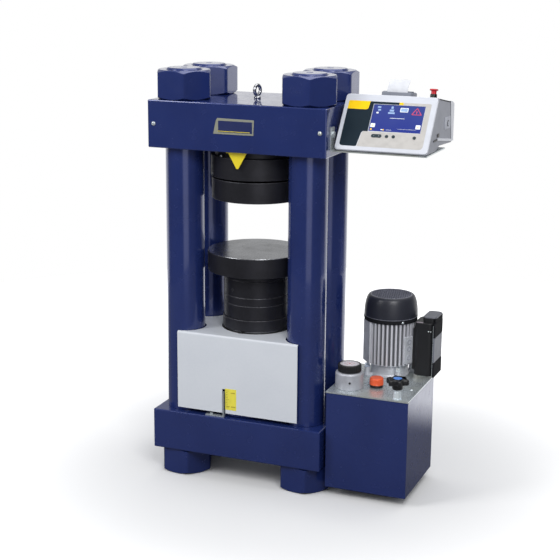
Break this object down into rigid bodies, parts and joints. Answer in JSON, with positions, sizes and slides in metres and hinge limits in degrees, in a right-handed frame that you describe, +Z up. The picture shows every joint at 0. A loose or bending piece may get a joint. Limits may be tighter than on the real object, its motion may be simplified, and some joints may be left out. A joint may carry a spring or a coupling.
{
  "type": "concrete compression testing machine",
  "caption": "Four-column hydraulic press for crushing concrete cubes, with a ball-seated upper platen, a sheet guard, a tank-mounted power pack and a tilted display console.",
  "frame": {"origin": "on the floor, at the middle of the machine's floor area (its bounding box's bottom centre)", "axes": "+Z up along the columns, -Y towards the operator, +X from the press towards the power pack and console"},
  "size_m": [0.797, 0.3314, 1.1737],
  "materials": {
    "blue_paint": "smooth blue enamel",
    "black_oxide": "black oxide on machined steel",
    "ground_steel": "ground",
    "grey_paint": "pale grey enamel",
    "zinc": "zinc plated",
    "chrome": "polished",
    "yellow": "yellow enamel",
    "black_plastic": "satin black",
    "rubber": "matt",
    "cast_aluminium": "cast",
    "white_plastic": "satin white",
    "grey_plastic": "satin grey",
    "orange_plastic": "satin orange",
    "red_plastic": "red",
    "screen_glass": "display cover",
    "paper": "white"
  },
  "bodies": {
    "frame": {"ball_seat_housing": "black_oxide", "base_plate": "blue_paint", "centre_pointer": "yellow", "column_front_left": "blue_paint", "column_front_right": "blue_paint", "column_rear_left": "blue_paint", "column_rear_right": "blue_paint", "console_bezel": "white_plastic", "console_bracket": "zinc", "console_housing": "grey_plastic", "crosshead": "blue_paint", "cylinder_body": "blue_paint", "cylinder_guard": "grey_paint", "display_screen": "screen_glass", "eyebolt": "chrome", "fan_cowl": "black_plastic", "filler_neck": "black_plastic", "foot_nut_front_left": "blue_paint", "foot_nut_front_right": "blue_paint", "foot_nut_rear_left": "blue_paint", "foot_nut_rear_right": "blue_paint", "motor_body": "cast_aluminium", "motor_flange": "cast_aluminium", "oil_tank": "blue_paint", "paper_roll": "paper", "pump_and_strainer": "cast_aluminium", "ram_wiper_ring": "rubber", "release_valve": "zinc", "stop_collar": "grey_plastic", "switch_box": "black_plastic", "switch_cover": "grey_plastic", "tank_lid": "zinc", "tank_runner_left": "rubber", "tank_runner_right": "rubber", "top_nut_front_left": "blue_paint", "top_nut_front_right": "blue_paint", "top_nut_rear_left": "blue_paint", "top_nut_rear_right": "blue_paint", "travel_bracket": "zinc", "valve_body": "cast_aluminium"},
    "ram": {"piston": "ground_steel", "distance_piece_1": "black_oxide", "distance_piece_2": "black_oxide", "distance_piece_3": "black_oxide", "distance_piece_4": "black_oxide", "distance_piece_5": "black_oxide", "lower_platen": "black_oxide"},
    "ball_ring": {"ball_dust_ring": "rubber"},
    "upper_platen_body": {"upper_platen": "black_oxide"},
    "rotor": {"motor_shaft": "ground_steel", "cooling_fan": "black_plastic"},
    "flow_knob_body": {"flow_knob": "black_plastic"},
    "lobed_knob_body": {"lobed_knob": "black_plastic"},
    "filler_cap_body": {"filler_cap": "orange_plastic"},
    "stop_button_body": {"stop_button": "red_plastic"},
    "menu_key_body": {"menu_key": "black_plastic"},
    "start_key_body": {"start_key": "black_plastic"},
    "stop_key_body": {"stop_key": "black_plastic"},
    "power_key_body": {"power_key": "black_plastic"},
    "printer_lid_body": {"printer_lid": "grey_plastic"}
  },
  "joints": [
    {"name": "ram_lift", "type": "slide", "parent": "frame", "child": "ram", "axis": [0, 0, 1], "range_m": [0, 0.05]},
    {"name": "platen_tilt_x", "type": "hinge", "parent": "frame", "child": "ball_ring", "pos_m": [-0.12977, -0.00551, 0.8121], "axis": [1, 0, 0], "range_deg": [-1.5, 1.5]},
    {"name": "platen_tilt_y", "type": "hinge", "parent": "ball_ring", "child": "upper_platen_body", "pos_m": [-0.12977, -0.00551, 0.8121], "axis": [0, 1, 0], "range_deg": [-1.5, 1.5]},
    {"name": "fan_spin", "type": "hinge", "parent": "frame", "child": "rotor", "pos_m": [0.2462, 0.08949, 0.5], "axis": [0, 0, 1], "continuous": true},
    {"name": "flow_knob_turn", "type": "hinge", "parent": "frame", "child": "flow_knob_body", "pos_m": [0.1806, -0.07401, 0.365], "axis": [0, 0, 1], "range_deg": [-150, 150]},
    {"name": "lobed_knob_turn", "type": "hinge", "parent": "frame", "child": "lobed_knob_body", "pos_m": [0.3342, -0.12051, 0.355], "axis": [0, 0, 1], "range_deg": [0, 330]},
    {"name": "filler_cap_lift", "type": "slide", "parent": "frame", "child": "filler_cap_body", "axis": [0, 0, 1], "range_m": [0, 0.03]},
    {"name": "stop_button_press", "type": "slide", "parent": "frame", "child": "stop_button_body", "axis": [0, -0.1557, -0.9878], "range_m": [0, 0.005]},
    {"name": "printer_lid_hinge", "type": "hinge", "parent": "frame", "child": "printer_lid_body", "pos_m": [0.27371, 0.03875, 1.10516], "axis": [-1, 0, 0], "range_deg": [0, 75]},
    {"name": "menu_key_press", "type": "slide", "parent": "frame", "child": "menu_key_body", "axis": [0, 0.8094, -0.5872], "range_m": [0, 0.001], "stiffness_N_per_m": 300},
    {"name": "start_key_press", "type": "slide", "parent": "frame", "child": "start_key_body", "axis": [0, 0.8094, -0.5872], "range_m": [0, 0.001], "stiffness_N_per_m": 300},
    {"name": "stop_key_press", "type": "slide", "parent": "frame", "child": "stop_key_body", "axis": [0, 0.8094, -0.5872], "range_m": [0, 0.001], "stiffness_N_per_m": 300},
    {"name": "power_key_press", "type": "slide", "parent": "frame", "child": "power_key_body", "axis": [0, 0.8094, -0.5872], "range_m": [0, 0.001], "stiffness_N_per_m": 300}
  ]
}
